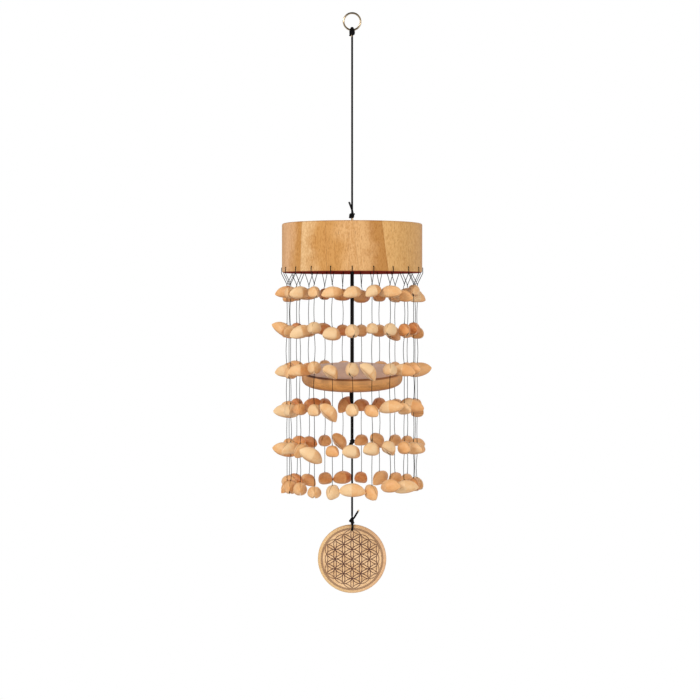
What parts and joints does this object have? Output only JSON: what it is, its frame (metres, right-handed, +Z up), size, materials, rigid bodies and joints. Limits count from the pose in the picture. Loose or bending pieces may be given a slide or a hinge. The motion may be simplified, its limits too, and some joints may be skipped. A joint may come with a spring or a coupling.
{
  "type": "hanging nut shell chime",
  "caption": "Hanging chime: split nut shells on strings round a wooden ring, struck by a wooden disc that a wind disc moves.",
  "frame": {"origin": "inside top of the hanging ring, where the hook bears", "axes": "+Z up along the hanging cord, -Y towards the viewer of the picture, +X to the viewer's right"},
  "size_m": [0.2251, 0.2167, 0.8284],
  "materials": {
    "ring_metal": "satin, slightly tarnished",
    "black_cord": "braided nylon, slight sheen",
    "ring_wood": "satin varnish",
    "bar_wood": "bare wood",
    "striker_wood": "satin varnish",
    "wind_wood": "satin, engraved",
    "nut_shell": "dry polished shell",
    "thin_string": "waxed thread"
  },
  "bodies": {
    "hanger": {"hang_ring": "ring_metal"},
    "ring_tie": {"ring_knot": "black_cord"},
    "main_cord": {"suspension_cord": "black_cord", "upper_knot": "black_cord", "bar_knot": "black_cord"},
    "drum": {"wooden_ring": "ring_wood", "crossbar": "bar_wood", "rim_loops": "thin_string"},
    "clapper": {"clapper_cord": "black_cord", "striker_knot": "black_cord", "lower_knot": "black_cord"},
    "striker": {"striker_disc": "striker_wood"},
    "wind_line": {"wind_cord": "black_cord"},
    "wind_tie": {"wind_loop": "black_cord"},
    "wind_catcher": {"wind_disc": "wind_wood"},
    "strand_01": {"strand_01_string": "thin_string", "strand_01_nuts": "nut_shell"},
    "strand_02": {"strand_02_string": "thin_string", "strand_02_nuts": "nut_shell"},
    "strand_03": {"strand_03_string": "thin_string", "strand_03_nuts": "nut_shell"},
    "strand_04": {"strand_04_string": "thin_string", "strand_04_nuts": "nut_shell"},
    "strand_05": {"strand_05_string": "thin_string", "strand_05_nuts": "nut_shell"},
    "strand_06": {"strand_06_string": "thin_string", "strand_06_nuts": "nut_shell"},
    "strand_07": {"strand_07_string": "thin_string", "strand_07_nuts": "nut_shell"},
    "strand_08": {"strand_08_string": "thin_string", "strand_08_nuts": "nut_shell"},
    "strand_09": {"strand_09_string": "thin_string", "strand_09_nuts": "nut_shell"},
    "strand_10": {"strand_10_string": "thin_string", "strand_10_nuts": "nut_shell"},
    "strand_11": {"strand_11_string": "thin_string", "strand_11_nuts": "nut_shell"},
    "strand_12": {"strand_12_string": "thin_string", "strand_12_nuts": "nut_shell"},
    "strand_13": {"strand_13_string": "thin_string", "strand_13_nuts": "nut_shell"},
    "strand_14": {"strand_14_string": "thin_string", "strand_14_nuts": "nut_shell"},
    "strand_15": {"strand_15_string": "thin_string", "strand_15_nuts": "nut_shell"},
    "strand_16": {"strand_16_string": "thin_string", "strand_16_nuts": "nut_shell"},
    "strand_17": {"strand_17_string": "thin_string", "strand_17_nuts": "nut_shell"},
    "strand_18": {"strand_18_string": "thin_string", "strand_18_nuts": "nut_shell"},
    "strand_19": {"strand_19_string": "thin_string", "strand_19_nuts": "nut_shell"},
    "strand_20": {"strand_20_string": "thin_string", "strand_20_nuts": "nut_shell"},
    "strand_21": {"strand_21_string": "thin_string", "strand_21_nuts": "nut_shell"}
  },
  "joints": [
    {"name": "ring_rock", "type": "hinge", "parent": "hanger", "child": "ring_tie", "pos_m": [0, 0, -0.0229], "axis": [1, 0, 0], "range_deg": [-30, 30]},
    {"name": "cord_sway", "type": "hinge", "parent": "ring_tie", "child": "main_cord", "pos_m": [0, 0, -0.03618], "axis": [0, 1, 0], "range_deg": [-25, 25]},
    {"name": "drum_turn", "type": "hinge", "parent": "main_cord", "child": "drum", "pos_m": [0, 0, -0.312], "axis": [0, 0, 1], "continuous": true},
    {"name": "clapper_swing", "type": "hinge", "parent": "main_cord", "child": "clapper", "pos_m": [0, 0, -0.32993], "axis": [1, 0, 0], "range_deg": [-1, 1]},
    {"name": "striker_turn", "type": "hinge", "parent": "clapper", "child": "striker", "pos_m": [0, 0, -0.517], "axis": [0, 0, 1], "continuous": true},
    {"name": "wind_swing", "type": "hinge", "parent": "clapper", "child": "wind_line", "pos_m": [0, 0, -0.61604], "axis": [0, 1, 0], "range_deg": [-25, 25]},
    {"name": "wind_turn", "type": "hinge", "parent": "wind_line", "child": "wind_tie", "pos_m": [0, 0, -0.71509], "axis": [0, 0, 1], "continuous": true},
    {"name": "wind_rock", "type": "hinge", "parent": "wind_tie", "child": "wind_catcher", "pos_m": [0, 0, -0.7299], "axis": [1, 0, 0], "range_deg": [-35, 35]},
    {"name": "strand_01_swing", "type": "hinge", "parent": "drum", "child": "strand_01", "pos_m": [0, -0.093, -0.3863], "axis": [-1, 0, 0], "range_deg": [0, 25]},
    {"name": "strand_02_swing", "type": "hinge", "parent": "drum", "child": "strand_02", "pos_m": [0.02741, -0.08887, -0.3863], "axis": [-0.9556, -0.2948, 0], "range_deg": [0, 25]},
    {"name": "strand_03_swing", "type": "hinge", "parent": "drum", "child": "strand_03", "pos_m": [0.05239, -0.07684, -0.3863], "axis": [-0.8262, -0.5633, 0], "range_deg": [0, 25]},
    {"name": "strand_04_swing", "type": "hinge", "parent": "drum", "child": "strand_04", "pos_m": [0.07271, -0.05799, -0.3863], "axis": [-0.6235, -0.7818, 0], "range_deg": [0, 25]},
    {"name": "strand_05_swing", "type": "hinge", "parent": "drum", "child": "strand_05", "pos_m": [0.08657, -0.03398, -0.3863], "axis": [-0.3653, -0.9309, 0], "range_deg": [0, 25]},
    {"name": "strand_06_swing", "type": "hinge", "parent": "drum", "child": "strand_06", "pos_m": [0.09274, -0.00695, -0.3863], "axis": [-0.0747, -0.9972, 0], "range_deg": [0, 25]},
    {"name": "strand_07_swing", "type": "hinge", "parent": "drum", "child": "strand_07", "pos_m": [0.09067, 0.02069, -0.3863], "axis": [0.2225, -0.9749, 0], "range_deg": [0, 25]},
    {"name": "strand_08_swing", "type": "hinge", "parent": "drum", "child": "strand_08", "pos_m": [0.08054, 0.0465, -0.3863], "axis": [0.5, -0.866, 0], "range_deg": [0, 25]},
    {"name": "strand_09_swing", "type": "hinge", "parent": "drum", "child": "strand_09", "pos_m": [0.06326, 0.06817, -0.3863], "axis": [0.7331, -0.6802, 0], "range_deg": [0, 25]},
    {"name": "strand_10_swing", "type": "hinge", "parent": "drum", "child": "strand_10", "pos_m": [0.04035, 0.08379, -0.3863], "axis": [0.901, -0.4339, 0], "range_deg": [0, 25]},
    {"name": "strand_11_swing", "type": "hinge", "parent": "drum", "child": "strand_11", "pos_m": [0.01386, 0.09196, -0.3863], "axis": [0.9888, -0.149, 0], "range_deg": [0, 25]},
    {"name": "strand_12_swing", "type": "hinge", "parent": "drum", "child": "strand_12", "pos_m": [-0.01386, 0.09196, -0.3863], "axis": [0.9888, 0.149, 0], "range_deg": [0, 25]},
    {"name": "strand_13_swing", "type": "hinge", "parent": "drum", "child": "strand_13", "pos_m": [-0.04035, 0.08379, -0.3863], "axis": [0.901, 0.4339, 0], "range_deg": [0, 25]},
    {"name": "strand_14_swing", "type": "hinge", "parent": "drum", "child": "strand_14", "pos_m": [-0.06326, 0.06817, -0.3863], "axis": [0.7331, 0.6802, 0], "range_deg": [0, 25]},
    {"name": "strand_15_swing", "type": "hinge", "parent": "drum", "child": "strand_15", "pos_m": [-0.08054, 0.0465, -0.3863], "axis": [0.5, 0.866, 0], "range_deg": [0, 25]},
    {"name": "strand_16_swing", "type": "hinge", "parent": "drum", "child": "strand_16", "pos_m": [-0.09067, 0.02069, -0.3863], "axis": [0.2225, 0.9749, 0], "range_deg": [0, 25]},
    {"name": "strand_17_swing", "type": "hinge", "parent": "drum", "child": "strand_17", "pos_m": [-0.09274, -0.00695, -0.3863], "axis": [-0.0747, 0.9972, 0], "range_deg": [0, 25]},
    {"name": "strand_18_swing", "type": "hinge", "parent": "drum", "child": "strand_18", "pos_m": [-0.08657, -0.03398, -0.3863], "axis": [-0.3653, 0.9309, 0], "range_deg": [0, 25]},
    {"name": "strand_19_swing", "type": "hinge", "parent": "drum", "child": "strand_19", "pos_m": [-0.07271, -0.05799, -0.3863], "axis": [-0.6235, 0.7818, 0], "range_deg": [0, 25]},
    {"name": "strand_20_swing", "type": "hinge", "parent": "drum", "child": "strand_20", "pos_m": [-0.05239, -0.07684, -0.3863], "axis": [-0.8262, 0.5633, 0], "range_deg": [0, 25]},
    {"name": "strand_21_swing", "type": "hinge", "parent": "drum", "child": "strand_21", "pos_m": [-0.02741, -0.08887, -0.3863], "axis": [-0.9556, 0.2948, 0], "range_deg": [0, 25]}
  ]
}
